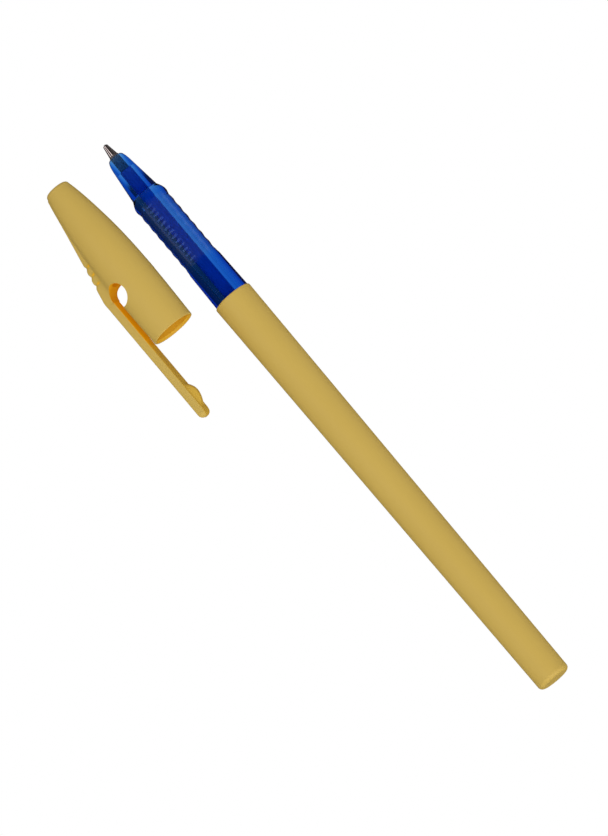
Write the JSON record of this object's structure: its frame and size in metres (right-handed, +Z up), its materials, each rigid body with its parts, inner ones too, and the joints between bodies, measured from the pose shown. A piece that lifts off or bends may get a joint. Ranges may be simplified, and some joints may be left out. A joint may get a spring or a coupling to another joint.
{
  "type": "stick ballpoint pen",
  "caption": "Uncapped stick ballpoint pen with a tapered opaque barrel, clear waved grip section and metal tip, its closed cap with a spring clip lying beside it.",
  "frame": {"origin": "middle of the underside of the pen and its cap as they lie on a table", "axes": "+X along the pen from its ball to its closed rear end, +Y from the cap towards the pen, +Z up"},
  "size_m": [0.1422, 0.0248, 0.0098],
  "materials": {
    "barrel_plastic": "satin moulded, opaque",
    "clear_plastic": "polished, transparent",
    "tip_metal": "turned nickel silver",
    "ball_metal": "ground hard metal",
    "tube_plastic": "translucent",
    "ink_paste": "wet",
    "cap_plastic": "satin moulded, opaque"
  },
  "bodies": {
    "pen": {"barrel": "barrel_plastic", "grip_section": "clear_plastic", "writing_tip": "tip_metal", "ink_tube": "tube_plastic", "ink_column": "ink_paste"},
    "ball": {"writing_ball": "ball_metal"},
    "cap": {"cap_shell": "cap_plastic"},
    "clip": {"cap_clip": "cap_plastic"}
  },
  "joints": [
    {"name": "ball_roll", "type": "hinge", "parent": "pen", "child": "ball", "pos_m": [-0.0707, 0.00815, 0.00429], "axis": [0, 1, 0], "continuous": true},
    {"name": "cap_line_up", "type": "slide", "parent": "pen", "child": "cap", "axis": [-0.9832, 0.1823, -0.0086], "range_m": [0, 0.07323]},
    {"name": "clip_flex", "type": "hinge", "parent": "cap", "child": "clip", "pos_m": [-0.04595, -0.01101, 0.00159], "axis": [0, 0.497, -0.8678], "range_deg": [0, 5], "stiffness_Nm_per_rad": 1.5}
  ]
}
